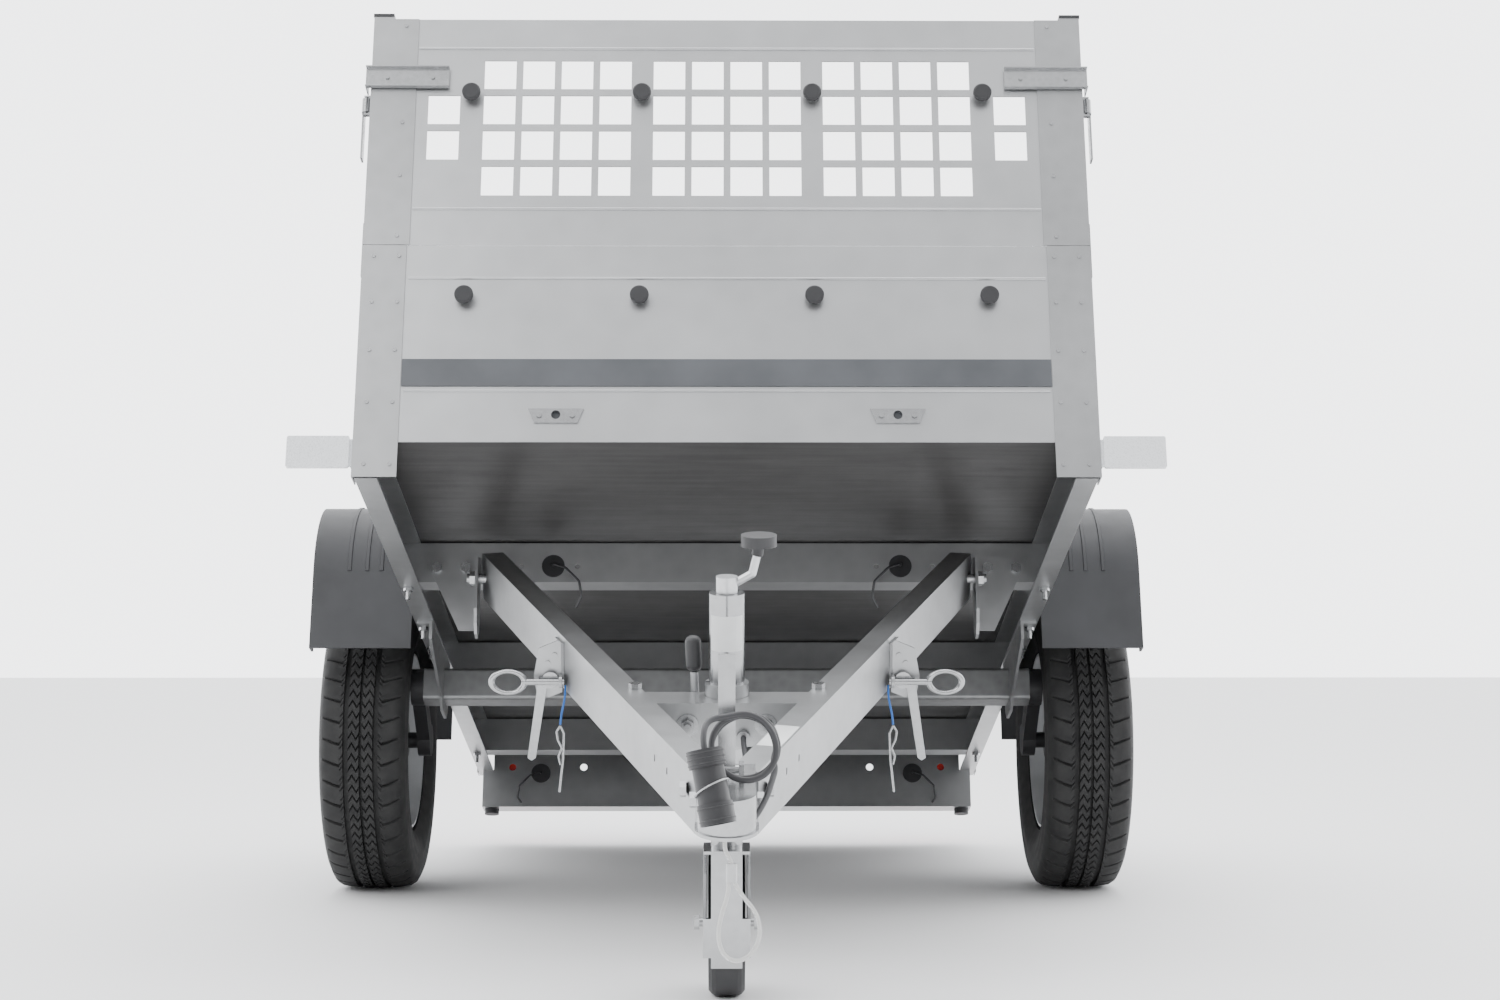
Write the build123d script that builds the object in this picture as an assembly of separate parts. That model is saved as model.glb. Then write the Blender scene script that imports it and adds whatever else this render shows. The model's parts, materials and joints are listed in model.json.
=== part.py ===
from build123d import *
import math
import os

# Single-axle tipping box trailer, standing on its wheels and jockey wheel with the
# drawbar latches released and the load bed tipped nose-up. Millimetres, +Z up,
# ground at Z = 0, drawbar pointing to -Y, X across the trailer.

# ---- driving dimensions -------------------------------------------------------
BED_PITCH = 16.5            # load bed, front end up, degrees
BAR_PITCH = 13.0            # drawbar, nose down, degrees
CLOSED_TURN = BED_PITCH + BAR_PITCH

HALF_WIDTH = 562.0          # outside of the bed, from the centre plane
BED_LENGTH = 2045.0
RAIL_HEIGHT = 75.0
PANEL_TOP = 380.0           # top of the lower panels, above the rail's underside
EXTENSION_TOP = 780.0
SHEET = 2.0                 # wall of panels and posts
FLOOR_THICKNESS = 9.0

TYRE_RADIUS = 279.0
TYRE_WIDTH = 160.0
WHEEL_X = 663.0             # centre of each tyre
RIM_RADIUS = 178.0
WHEEL_Y = 429.1             # wheel centre, behind the model's origin
WHEEL_ALONG = 1150.0        # wheel centre from the bed's front, along the bed
WHEEL_DROP = 130.0          # wheel centre below the rail's underside

AXLE_ALONG = 1018.0
AXLE_DROP = 60.0
AXLE_SIZE = 60.0

HINGE_ALONG = 515.0
HINGE_DROP = 1.0
HINGE_X = 410.0             # outer face of each drawbar arm at the hinge
ARM_ANGLE = 16.49           # each arm's angle to the centre plane, degrees
ARM_HEIGHT = 78.0
ARM_FLANGE = 36.0
ARM_WALL = 3.0
ARM_TAIL = 21.0             # arm behind the hinge
ARM_NOSE = 1310.0           # arm ahead of the hinge, along the arm

JOCKEY_AHEAD = 886.0        # jockey tube ahead of the hinge
JOCKEY_TUBE_R = 24.0
JOCKEY_WALL = 2.0
INNER_TUBE_R = 21.5
INNER_END = -172.0          # lower end of the inner tube, below the drawbar's mid-height
INNER_TOP = 140.0
SWIVEL_R = 17.2
JOCKEY_WHEEL_R = 100.0
JOCKEY_WHEEL_WIDTH = 50.0
JOCKEY_TRAIL = 62.0         # wheel centre behind the inner tube's lower end

COUPLING_AHEAD = 1395.0     # ball centre ahead of the hinge
BALL_R = 25.0

SQUARE = 50.0               # perforation
SQUARE_PITCH = 61.0
BLOCK_PITCH = 268.0
KNOB_PITCH = 269.0

RUN_GAP = 0.05              # radial clearance of a running fit

# ---- frames -------------------------------------------------------------------
pitch = math.radians(BED_PITCH)
BED_Y = WHEEL_Y - WHEEL_ALONG * math.cos(pitch) + WHEEL_DROP * math.sin(pitch)
BED_Z = TYRE_RADIUS + WHEEL_ALONG * math.sin(pitch) + WHEEL_DROP * math.cos(pitch)
BED = Location((0, BED_Y, BED_Z), (-BED_PITCH, 0, 0))

hinge_point = BED * Location((0, HINGE_ALONG, -HINGE_DROP))
HINGE_Y = hinge_point.position.Y
HINGE_Z = hinge_point.position.Z
BAR = Location((0, HINGE_Y, HINGE_Z), (BAR_PITCH, 0, 0))

os.makedirs("parts", exist_ok=True)
nodes = {}
bed_bolts = []
bar_bolts = []


# ---- helpers ------------------------------------------------------------------
def block(x0, x1, y0, y1, z0, z1):
    """Box between two corners."""
    size = (x1 - x0, y1 - y0, z1 - z0)
    centre = ((x0 + x1) / 2, (y0 + y1) / 2, (z0 + z1) / 2)
    return Pos(*centre) * Box(*size)


def rod(start, end, radius):
    """Round bar between two points."""
    a = Vector(*start)
    b = Vector(*end)
    direction = b - a
    circle = Plane(origin=a, z_dir=direction) * Circle(radius)
    return extrude(circle, direction.length)


def tube(start, end, radius, inner):
    """Round tube between two points."""
    overshoot = (Vector(*end) - Vector(*start)).normalized()
    a = Vector(*start) - overshoot
    b = Vector(*end) + overshoot
    return rod(start, end, radius) - rod(tuple(a), tuple(b), inner)


def outline_yz(points, x0, x1):
    """Flat plate in the YZ plane between two X values."""
    face = Plane.YZ * make_face(Polyline(*points, close=True))
    return Pos(x0, 0, 0) * extrude(face, x1 - x0, dir=(1, 0, 0))


def outline_xz(points, y0, y1):
    """Flat plate in the XZ plane between two Y values."""
    wire = Polyline(*[(x, 0, z) for x, z in points], close=True)
    return Pos(0, y0, 0) * extrude(make_face(wire), y1 - y0, dir=(0, 1, 0))


def mirrored(shape):
    """The same piece on the trailer's other side."""
    return mirror(shape, about=Plane.YZ)


def pair(shape):
    """A piece and its mirror image, as separate solids."""
    return Compound(children=solids_of(shape) + solids_of(mirrored(shape)))


def solids_of(shape):
    """Every solid of a shape or list of shapes."""
    if isinstance(shape, (list, tuple)):
        return [solid for item in shape for solid in solids_of(item)]
    return list(shape.solids())


def group(*shapes):
    """Separate solids in one node."""
    return Compound(children=solids_of(list(shapes)))


def keep(name, shape, frame=None):
    """Place a finished node in the trailer's frame and remember it."""
    placed = frame * shape if frame is not None else shape
    nodes[name] = placed


def hex_bolt(at, axis, head_r, head_h, shank_r, shank_l):
    """Hexagon head outside the point, shank running back along -axis."""
    plane = Plane(origin=at, z_dir=axis)
    head = extrude(plane * RegularPolygon(head_r, 6), head_h)
    shank = extrude(plane * Circle(shank_r), -shank_l)
    return head + shank


# ---- load bed -----------------------------------------------------------------
def make_rails():
    """Folded C rails along both sides, open towards the centre."""
    outer = HALF_WIDTH - SHEET
    web = block(outer - 2.5, outer, 6, BED_LENGTH - 4, 0, RAIL_HEIGHT)
    lower = block(outer - 34, outer, 6, BED_LENGTH - 4, 0, 2.5)
    upper = block(outer - 34, outer, 6, BED_LENGTH - 4, RAIL_HEIGHT - 2.5, RAIL_HEIGHT)
    rail = web + lower + upper
    keep("side_rails", pair(rail), BED)


def crossmember(along, depth=48.0):
    """C beam between the rails, web to the front, with a rolled upper edge."""
    half = HALF_WIDTH - SHEET - 2.7
    web = block(-half, half, along, along + 2.5, 2.6, RAIL_HEIGHT - 2.6)
    lower = block(-half, half, along, along + depth, 2.6, 5.1)
    upper = block(-half, half, along, along + depth, RAIL_HEIGHT - 5.1, RAIL_HEIGHT - 2.6)
    return web + lower + upper


def make_crossmembers():
    """Front, middle and rear beams; the front one carries grommet holes."""
    front = crossmember(CROSS_FRONT)
    for x in (-297, 297):
        front -= rod((x, CROSS_FRONT - 2, 31), (x, CROSS_FRONT + 6, 31), 17)
    for x in (-352, -256, 256, 352):
        front -= rod((x, CROSS_FRONT - 2, 31), (x, CROSS_FRONT + 6, 31), 4.5)
    keep("crossmembers", group(front, crossmember(CROSS_MIDDLE), crossmember(CROSS_REAR)), BED)


def make_floor():
    """Plywood floor board on the rails and crossmembers."""
    half = HALF_WIDTH - SHEET
    board = block(-half, half, 4, BED_LENGTH - 4, RAIL_HEIGHT, RAIL_HEIGHT + FLOOR_THICKNESS)
    keep("floor_board", board, BED)


def folded_sheet(half, ridge_half, low, high, beads):
    """Upright sheet across X at Y = 0 with shallow horizontal folds."""
    sheet = block(-half, half, 0, SHEET, low, high)
    for bead in beads:
        ridge = rod((-ridge_half, -0.2, bead), (ridge_half, -0.2, bead), 2.2)
        sheet += ridge
    return sheet


def perforate(sheet, centres, rows, single_x=()):
    """Cut blocks of square openings through an upright sheet."""
    columns = [(-1.5 + i) * SQUARE_PITCH for i in range(4)]
    cutters = []
    for centre in centres:
        for column in columns:
            for row in rows:
                x = centre + column
                cutters.append(square_cutter(x, row))
    for x in single_x:
        cutters += [square_cutter(x, row) for row in rows[1:3]]
    return sheet - cutters


def square_cutter(x, z):
    """One square opening."""
    half = SQUARE / 2
    return block(x - half, x + half, -6, 8, z - half, z + half)


PANEL_BEADS = (139.0, 325.0)
EXTENSION_BEADS = (443.0, 724.0)
PERFORATION_ROWS = [491.0 + i * 62.0 for i in range(4)]
CROSS_FRONT = 548.0
CROSS_MIDDLE = 1180.0
CROSS_REAR = 1800.0
POST_WIDTH = 66.0
EXTENSION_POST = 30.0
LIP_BOTTOM = 56.0


def make_front_panel():
    """Lower front wall with its return lip under the floor's front edge."""
    half = HALF_WIDTH - POST_WIDTH + 2
    panel = folded_sheet(half, half - 6, LIP_BOTTOM, PANEL_TOP, PANEL_BEADS)
    panel += block(-half, half, 0, 12, PANEL_TOP - SHEET, PANEL_TOP)
    for x in (-259, 259):
        panel -= rod((x, -3, 99), (x, 5, 99), 7)
    keep("front_panel", panel, BED)


def make_side_panels():
    """Lower side walls."""
    length = BED_LENGTH - 2 * 6
    sheet = block(0, SHEET, 6, 6 + length, RAIL_HEIGHT - 50, PANEL_TOP)
    for bead in PANEL_BEADS:
        sheet += rod((SHEET + 0.2, 42, bead), (SHEET + 0.2, BED_LENGTH - 42, bead), 2.2)
    sheet += block(-12, SHEET, 42, BED_LENGTH - 42, PANEL_TOP - SHEET, PANEL_TOP)
    panel = Pos(HALF_WIDTH - SHEET, 0, 0) * sheet
    keep("side_panels", pair(panel), BED)


def corner_post(low, high, width):
    """Riveted angle at a front corner, right-hand side."""
    front = block(HALF_WIDTH - width, HALF_WIDTH + SHEET, -SHEET, 0, low, high)
    side = block(HALF_WIDTH, HALF_WIDTH + SHEET, -SHEET, 36, low, high)
    return front + side


def make_corner_posts():
    """Lower corner posts, front and rear."""
    front = corner_post(0, PANEL_TOP, POST_WIDTH)
    side = block(HALF_WIDTH, HALF_WIDTH + SHEET, BED_LENGTH - 40, BED_LENGTH, 0, PANEL_TOP)
    inner = block(HALF_WIDTH - 30, HALF_WIDTH - SHEET, BED_LENGTH - 4, BED_LENGTH - 2, 88, PANEL_TOP)
    web = block(HALF_WIDTH - 4, HALF_WIDTH, BED_LENGTH - 4, BED_LENGTH - 2, 88, PANEL_TOP)
    rear = side + inner + web
    keep("corner_posts", pair(group(front, rear)), BED)


def make_extension_front():
    """Perforated front extension wall."""
    half = HALF_WIDTH - EXTENSION_POST + 1
    panel = folded_sheet(half, HALF_WIDTH - 72, PANEL_TOP + 1, EXTENSION_TOP - 4, EXTENSION_BEADS)
    panel = perforate(panel, (-BLOCK_PITCH, 0, BLOCK_PITCH), PERFORATION_ROWS, (-447, 447))
    keep("extension_front", panel, BED)


def make_extension_sides():
    """Perforated side extension walls with their top fold."""
    length = BED_LENGTH - 2 * 8
    sheet = block(-length / 2, length / 2, 0, SHEET, PANEL_TOP + 1, EXTENSION_TOP - 4)
    for bead in EXTENSION_BEADS:
        sheet += rod((-length / 2 + 36, -0.2, bead), (length / 2 - 36, -0.2, bead), 2.2)
    centres = [(-2.5 + i) * 315.0 for i in range(6)]
    sheet = perforate(sheet, centres, PERFORATION_ROWS)
    turned = Location((HALF_WIDTH, BED_LENGTH / 2, 0), (0, 0, 90)) * sheet
    keep("extension_sides", pair(turned), BED)


def make_extension_posts():
    """Corner posts of the extension with plastic end caps."""
    low = PANEL_TOP + 1
    front = corner_post(low, EXTENSION_TOP, EXTENSION_POST)
    strip_edge = HALF_WIDTH - 70
    front += block(strip_edge, HALF_WIDTH - EXTENSION_POST, -SHEET, -0.05, low, EXTENSION_TOP - 4)
    foot = block(HALF_WIDTH + SHEET, HALF_WIDTH + 4, 4, 30, PANEL_TOP - 50, PANEL_TOP + 40)
    pieces = [front + foot]
    side = block(HALF_WIDTH, HALF_WIDTH + SHEET, BED_LENGTH - 40, BED_LENGTH, low, EXTENSION_TOP)
    foot = block(HALF_WIDTH + SHEET, HALF_WIDTH + 4, BED_LENGTH - 34, BED_LENGTH - 8,
                 PANEL_TOP - 50, PANEL_TOP + 40)
    pieces.append(side + foot)
    keep("extension_posts", pair(group(*pieces)), BED)
    cap = block(HALF_WIDTH - EXTENSION_POST, HALF_WIDTH + SHEET + 1, -SHEET - 1, 30,
                EXTENSION_TOP, EXTENSION_TOP + 5)
    rear_cap = block(HALF_WIDTH - 4, HALF_WIDTH + SHEET + 1, BED_LENGTH - 41, BED_LENGTH + 1,
                     EXTENSION_TOP, EXTENSION_TOP + 5)
    keep("post_caps", group(pair(cap), pair(rear_cap)), BED)


def knob(at, axis):
    """Rubber lashing knob: neck, dished head and rivet."""
    neck = rod(at, offset_point(at, axis, 9), 7)
    head = rod(offset_point(at, axis, 9), offset_point(at, axis, 19), 14.5)
    head = chamfer(head.edges().filter_by(GeomType.CIRCLE), 2.5)
    return neck + head


def offset_point(at, axis, distance):
    """Point moved along an axis."""
    return tuple(at[i] + axis[i] * distance for i in range(3))


def make_knobs():
    """Lashing knobs on the front and both sides, lower and upper rows."""
    knobs = []
    for i in range(4):
        x = (-1.5 + i) * KNOB_PITCH
        knobs.append(knob((x, 0, 292), (0, -1, 0)))
        knobs.append(knob((x, 0, 640), (0, -1, 0)))
    for i in range(6):
        y = BED_LENGTH / 2 + (-2.5 + i) * 330.0
        right = knob((HALF_WIDTH, y, 292), (1, 0, 0))
        knobs.append(right)
        knobs.append(mirrored(right))
    keep("lashing_knobs", group(*knobs), BED)


def make_strikers():
    """Trapezoid striker plates on the front wall with their bolts."""
    plate = outline_xz([(217, 109), (301, 109), (292, 86), (226, 86)], -3.2, -0.1)
    plate -= rod((259, -5, 99), (259, 1, 99), 7)
    for x in (234, 284):
        plate += hex_bolt((x, -3.2, 98), (0, -1, 0), 4.5, 3, 2.5, 1)
    keep("striker_plates", pair(plate), BED)


def make_front_reflectors():
    """Brackets with white reflectors beside the front posts."""
    bracket = block(HALF_WIDTH + SHEET, HALF_WIDTH + 96, -1, 1, 16, 60)
    bracket += block(HALF_WIDTH + SHEET, HALF_WIDTH + 4, -1, 32, 16, 60)
    lens = block(HALF_WIDTH + 6, HALF_WIDTH + 100, -8, -1, 13, 63)
    lens = fillet(lens.edges().filter_by(Axis.Y), 3)
    keep("front_reflectors", group(pair(bracket), pair(lens)), BED)


def make_rivets():
    """Blind rivets along the posts."""
    rivets = []
    for z in (20, 120, 205, 285, 362):
        rivets.append(rod((HALF_WIDTH - 16, -SHEET, z), (HALF_WIDTH - 16, -SHEET - 1.6, z), 3.2))
        rivets.append(rod((HALF_WIDTH - 55, -SHEET, z), (HALF_WIDTH - 55, -SHEET - 1.6, z), 3.2))
    for z in (396, 500, 592, 690, 764):
        rivets.append(rod((HALF_WIDTH - 50, -SHEET, z), (HALF_WIDTH - 50, -SHEET - 1.6, z), 3.2))
    for z in (90, 160, 235, 310, 350, 430, 520, 610, 740):
        outer = HALF_WIDTH + SHEET
        low = 4.0 if 330 <= z <= 420 else SHEET
        start = HALF_WIDTH + low
        rivets.append(rod((start, 18, z), (start + 1.6, 18, z), 3.2))
        rivets.append(rod((start, BED_LENGTH - 20, z), (start + 1.6, BED_LENGTH - 20, z), 3.2))
    keep("post_rivets", pair(group(*rivets)), BED)


def make_lamp_beam():
    """Rear cross panel that carries the lamps, with a rounded sill."""
    half = 548.0
    upper_half = HALF_WIDTH - 38
    beam = block(-half, half, 1984, 1986.5, -76, -0.2)
    beam += block(-upper_half, upper_half, 1984, 1986.5, -1, RAIL_HEIGHT - 0.2)
    beam += block(-half, half, 1984, 2034, -76, -72)
    beam += block(-half, half, 1984, 1992, -84, -76)
    beam += block(-half, half, 1992, 2034, -84, -76)
    for x in (-418, 418):
        beam -= rod((x, 1980, -8), (x, 1990, -8), 19)
    for x in (-482, -322, 322, 482):
        beam -= rod((x, 1980, 6), (x, 1990, 6), 8)
    keep("lamp_beam", beam, BED)
    feet = [rod((x, 2010, -84.1), (x, 2010, -96), 16) for x in (-528, 528)]
    lamp = block(362, 522, 1990, 2042, -68, 60)
    lamp = fillet(lamp.edges().filter_by(Axis.Y), 8)
    keep("tail_lamps", pair(lamp), BED)
    make_rubber_fittings(feet)


def make_rubber_fittings(feet):
    """Feet of the rear sill, and grommets in the front crossmember and rear beam."""
    parts = []
    for x, y, z, r in ((297, CROSS_FRONT, 31, 17), (418, 1984, -8, 19)):
        flange = rod((x, y - 3, z), (x, y - 0.05, z), r + 2.5)
        plug = rod((x, y - 0.5, z), (x, y + 5, z), r - 0.2)
        parts.append(flange + plug)
    keep("rubber_fittings", group(pair(group(*parts)), *feet), BED)


def make_lamp_leads():
    """Short leads that leave the grommets and go back behind the beams."""
    leads = []
    for x, y, z, side in ((-297, CROSS_FRONT, 31, 1), (-418, 1984, -8, -1)):
        leads.append(lead(x, y, z, side))
        leads.append(mirrored(lead(x, y, z, side)))
    keep("lamp_leads", group(*leads), BED)


def lead(x, y, z, side):
    """One round lead as runs joined by arcs."""
    points = [
        (x, y - 3.2, z),
        (x, y - 17, z),
        (x + side * 22, y - 26, z - 10),
        (x + side * 46, y - 24, z - 34),
        (x + side * 50, y - 14, z - 58),
        (x + side * 40, y + 8, z - 70),
    ]
    path = FilletPolyline(*points, radius=9)
    return sweep(Plane(origin=points[0], z_dir=path % 0) * Circle(2.2), path=path)


def make_hinge_brackets():
    """Face plate on the front crossmember with a rounded lug for the drawbar hinge."""
    y = CROSS_FRONT
    face = outline_xz([(424, 48), (518, 48), (455, -84), (424, -84)], y - 5.2, y - 0.2)
    front_edge = [(y - 0.2, 44), (y - 55, 30), (y - 55, -60)]
    rounded_foot = [(y - 48, -84), (y - 34, -99), (y - 16, -102), (y - 0.2, -84)]
    lug = outline_yz(front_edge + rounded_foot, 420, 425)
    bracket = face + lug
    hole_start = (410, HINGE_ALONG, -HINGE_DROP)
    hole_end = (430, HINGE_ALONG, -HINGE_DROP)
    bracket -= rod(hole_start, hole_end, 8 + RUN_GAP)
    keep("hinge_brackets", pair(bracket), BED)
    bed_bolts.extend(hex_bolt((x, y - 5.3, 26), (0, -1, 0), 9.5, 7, 5, 0.05) for x in (446, 495))


def make_axle():
    """Square axle tube, its side plates and the bolts that hang below the rails."""
    half = AXLE_SIZE / 2
    y0 = AXLE_ALONG - half
    y1 = AXLE_ALONG + half
    z0 = -AXLE_DROP - half
    z1 = -AXLE_DROP + half
    axle = block(-566, 566, y0, y1, z0, z1)
    axle = fillet(axle.edges().filter_by(Axis.X), 7)
    bore = block(-567, 567, y0 + 4, y1 - 4, z0 + 4, z1 - 4)
    axle -= bore
    shape = [(775, -0.2), (1078, -0.2), (1070, -96), (1052, -112), (990, -112), (960, -92), (775, -34)]
    plate = outline_yz(shape, 528, 533)
    plate += block(528, 556, 775, 1078, -5.2, -0.2)
    plate -= block(520, 540, y0 + 1, y1 - 1, z0 + 1, z1 - 1)
    keep("axle_beam", axle + plate + mirrored(plate), BED)
    for y, z in ((800, -5.2), (930, -5.2), (1060, -5.2), (570, -0.2), (1200, -0.2), (1815, -0.2)):
        nut = hex_bolt((546, y, z - 0.1), (0, 0, -1), 8.5, 6.5, 4, 0.05)
        bed_bolts.append(nut + rod((546, y, z - 6), (546, y, z - 22), 4))


def make_mudguards():
    """Moulded mudguards: a squared arch with rounded shoulders."""
    front = 795.0
    rear = 1505.0
    foot = -45.0
    top = 265.0
    shoulder = 165.0
    outer = arch_face(front, rear, foot, top, shoulder)
    inner = arch_face(front + 4, rear - 4, foot - 2, top - 4, shoulder - 4)
    arch = extrude(outer, 182, dir=(1, 0, 0)) - extrude(inner, 182, dir=(1, 0, 0))
    rim_outer = arch_face(front + 4, rear - 4, foot, top - 4, shoulder - 4)
    rim_inner = arch_face(front + 26, rear - 26, foot - 2, top - 26, shoulder - 26)
    rim = extrude(rim_outer, 4, dir=(1, 0, 0)) - extrude(rim_inner, 4, dir=(1, 0, 0))
    guard = Pos(568, 0, 0) * (arch + Pos(178, 0, 0) * rim)
    keep("mudguards", pair(guard), BED)
    bed_bolts.extend(rod((HALF_WIDTH, y, 240), (568, y, 240), 9) for y in (980, 1150, 1320))


def arch_face(front, rear, foot, top, shoulder):
    """Closed YZ face of an arch with quarter-round shoulders."""
    left_up = Line((front, foot), (front, top - shoulder))
    left_round = RadiusArc((front, top - shoulder), (front + shoulder, top), shoulder)
    roof = Line((front + shoulder, top), (rear - shoulder, top))
    right_round = RadiusArc((rear - shoulder, top), (rear, top - shoulder), shoulder)
    right_down = Line((rear, top - shoulder), (rear, foot))
    base = Line((rear, foot), (front, foot))
    return Plane.YZ * make_face([left_up, left_round, roof, right_round, right_down, base])


# ---- tailgates and latches ------------------------------------------------------
TAILGATE_FACE = BED_LENGTH + 1.0
TAILGATE_HINGE = 92.0
FLAP_HINGE = 392.0
GATE_PIN_Y = TAILGATE_FACE + SHEET + 7.0


def make_tailgates():
    """Lower tailgate and perforated upper flap, each on its own bottom hinge pins."""
    half = HALF_WIDTH - 4
    lower = block(-half, half, TAILGATE_FACE, TAILGATE_FACE + SHEET, 87, PANEL_TOP - 3)
    for bead in PANEL_BEADS:
        ridge_y = TAILGATE_FACE + SHEET + 0.2
        lower += rod((-half + 2, ridge_y, bead), (half - 2, ridge_y, bead), 2.2)
    flap = block(-half, half, 0, SHEET, FLAP_HINGE - 6, EXTENSION_TOP - 4)
    flap = perforate(flap, (-BLOCK_PITCH, 0, BLOCK_PITCH), PERFORATION_ROWS)
    flap = Pos(0, TAILGATE_FACE, 0) * flap
    keep("tailgate", lower + knuckles(TAILGATE_HINGE), BED)
    keep("extension_flap", flap + knuckles(FLAP_HINGE), BED)
    pins = []
    for z in (TAILGATE_HINGE, FLAP_HINGE):
        pin = rod((-573, GATE_PIN_Y, z), (573, GATE_PIN_Y, z), 4)
        for x in (-570, 570):
            pin += block(x - 3, x + 3, BED_LENGTH - 60, GATE_PIN_Y + 4, z - 4, z + 4)
        pins.append(pin)
    keep("gate_pins", group(*pins), BED)


def knuckles(height):
    """Hinge knuckles of a tailgate, around its pin."""
    parts = []
    for x in (-380, 0, 380):
        knuckle = rod((x - 28, GATE_PIN_Y, height), (x + 28, GATE_PIN_Y, height), 6.5)
        leaf = block(x - 28, x + 28, TAILGATE_FACE + 1, GATE_PIN_Y, height, height + 30)
        bore = rod((x - 30, GATE_PIN_Y, height), (x + 30, GATE_PIN_Y, height), 4 + RUN_GAP)
        parts.append(knuckle + leaf - bore)
    return parts


def corner_clamp():
    """Folded strap that ties the front extension to its corner post."""
    strap = block(HALF_WIDTH - 122, HALF_WIDTH + 10, -6, -4, 651, 687)
    strap += block(HALF_WIDTH - 122, HALF_WIDTH + 10, -13, -6, 651, 653)
    strap += block(HALF_WIDTH - 122, HALF_WIDTH + 10, -13, -6, 685, 687)
    strap += block(HALF_WIDTH - 122, HALF_WIDTH - 100, -4, -SHEET, 655, 683)
    strap += block(HALF_WIDTH + 8, HALF_WIDTH + 10, -6, 20, 651, 687)
    for x in (HALF_WIDTH - 24, HALF_WIDTH - 96):
        strap += rod((x, -5, 669), (x, -9, 669), 3.5)
    return strap


def make_toggles():
    """Toggle latches on the side faces: base with its pin, and over-centre handle."""
    x = HALF_WIDTH + SHEET
    y = 24.0
    z = 640.0
    base = block(x, x + 2, y, y + 44, z - 18, z + 18)
    pin = rod((x + 12, y + 12, z - 17), (x + 12, y + 12, z + 17), 3)
    cheeks = base
    for low in (z - 17, z + 14.2):
        cheeks += block(x + 2, x + 15, y + 8, y + 16, low, low + 2.8)
    cheeks += pin
    keep("corner_clamps", pair(group(corner_clamp(), cheeks)), BED)
    eye = tube((x + 12, y + 12, z - 12), (x + 12, y + 12, z + 12), 6.5, 3 + RUN_GAP)
    lever = block(x + 15.5, x + 18.5, y + 12, y + 36, z - 12, z + 12)
    lever += block(x + 15.5, x + 18.5, y + 18, y + 36, z - 88, z - 10)
    handle = eye + lever
    keep("toggle_right", handle, BED)
    keep("toggle_left", mirrored(handle), BED)


# ---- wheels and suspension --------------------------------------------------------
def make_suspension():
    """Trailing torsion arms on the axle ends with their stub axles."""
    boss_in = 566.3
    boss_out = 590.0
    pivot = BED * Location((0, AXLE_ALONG, -AXLE_DROP))
    y = pivot.position.Y
    z = pivot.position.Z
    wheel = (0, WHEEL_Y, TYRE_RADIUS)
    length = math.hypot(WHEEL_Y - y, z - TYRE_RADIUS)
    angle = math.degrees(math.atan2(TYRE_RADIUS - z, WHEEL_Y - y))
    slab = Location((0, y, z), (angle, 0, 0)) * block(boss_in, boss_out, 0, length, -20, 20)
    arm = slab + rod((boss_in, y, z), (boss_out, y, z), 34)
    arm += rod((boss_in, WHEEL_Y, TYRE_RADIUS), (boss_out, WHEEL_Y, TYRE_RADIUS), 30)
    arm += rod((boss_out, WHEEL_Y, TYRE_RADIUS), (690, WHEEL_Y, TYRE_RADIUS), 15)
    arm += rod((500, y, z), (boss_in, y, z), 19)
    keep("torsion_arm_right", arm)
    keep("torsion_arm_left", mirrored(arm))


def revolve_x(points, x_centre):
    """Solid of revolution about the wheel axle from (x, radius) points."""
    wire = Polyline(*[(x, r) for x, r in points], close=True)
    return Pos(x_centre, 0, 0) * revolve(make_face(wire), Axis.X)


def make_road_wheels():
    """Tyre, rim, hub and wheel bolts of both road wheels."""
    h = TYRE_WIDTH / 2
    r = TYRE_RADIUS
    tread = [(-h + 16, r - 3), (-h + 30, r), (h - 30, r), (h - 16, r - 3)]
    right_wall = [(h - 5, r - 22), (h, r - 48), (h - 4, r - 78), (h - 18, RIM_RADIUS - 12)]
    inner = [(h - 24, RIM_RADIUS - 12), (h - 16, r - 60), (h - 24, r - 16), (-h + 24, r - 16),
             (-h + 16, r - 60), (-h + 24, RIM_RADIUS - 12)]
    left_wall = [(-h + 18, RIM_RADIUS - 12), (-h + 4, r - 78), (-h, r - 48), (-h + 5, r - 22)]
    tyre = revolve_x(tread + right_wall + inner + left_wall, WHEEL_X)
    rim = make_rim()
    hub = tube((612, 0, 0), (672, 0, 0), 34, 15 + RUN_GAP) + tube((668, 0, 0), (676, 0, 0), 62, 16)
    cap = rod((690.5, 0, 0), (716, 0, 0), 28) + tube((684.5, 0, 0), (690.5, 0, 0), 28, 16)
    bolts = []
    for i in range(4):
        turn = math.radians(45 + 90 * i)
        bolts.append(rod((684.3, 49 * math.cos(turn), 49 * math.sin(turn)),
                         (697, 49 * math.cos(turn), 49 * math.sin(turn)), 9))
    place = Location((0, WHEEL_Y, TYRE_RADIUS))
    for name, shape in (("tyre", tyre), ("rim", rim), ("hub", group(hub, cap, *bolts))):
        keep(name + "_right", shape, place)
        keep(name + "_left", mirrored(shape), place)


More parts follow.
